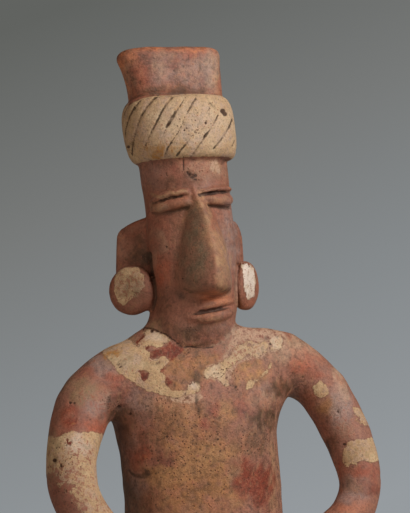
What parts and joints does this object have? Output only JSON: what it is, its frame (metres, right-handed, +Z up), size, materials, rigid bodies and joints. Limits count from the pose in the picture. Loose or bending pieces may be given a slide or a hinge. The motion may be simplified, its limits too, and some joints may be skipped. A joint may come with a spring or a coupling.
{
  "type": "anthropomorphic statuette",
  "caption": "Standing earthenware figure with a long head, wound turban and tall crest, disc ear ornaments and arms akimbo, on a low base.",
  "frame": {"origin": "middle of the underside's bounding box, where the base stands", "axes": "+Z up, the figure faces -Y, its left hand is on +X"},
  "size_m": [0.1882, 0.1, 0.431],
  "materials": {
    "slip_painted_earthenware": "burnished red-brown slip with worn cream bands over low-fired clay"
  },
  "bodies": {
    "root": {"earthenware_figure": "slip_painted_earthenware"}
  },
  "joints": []
}
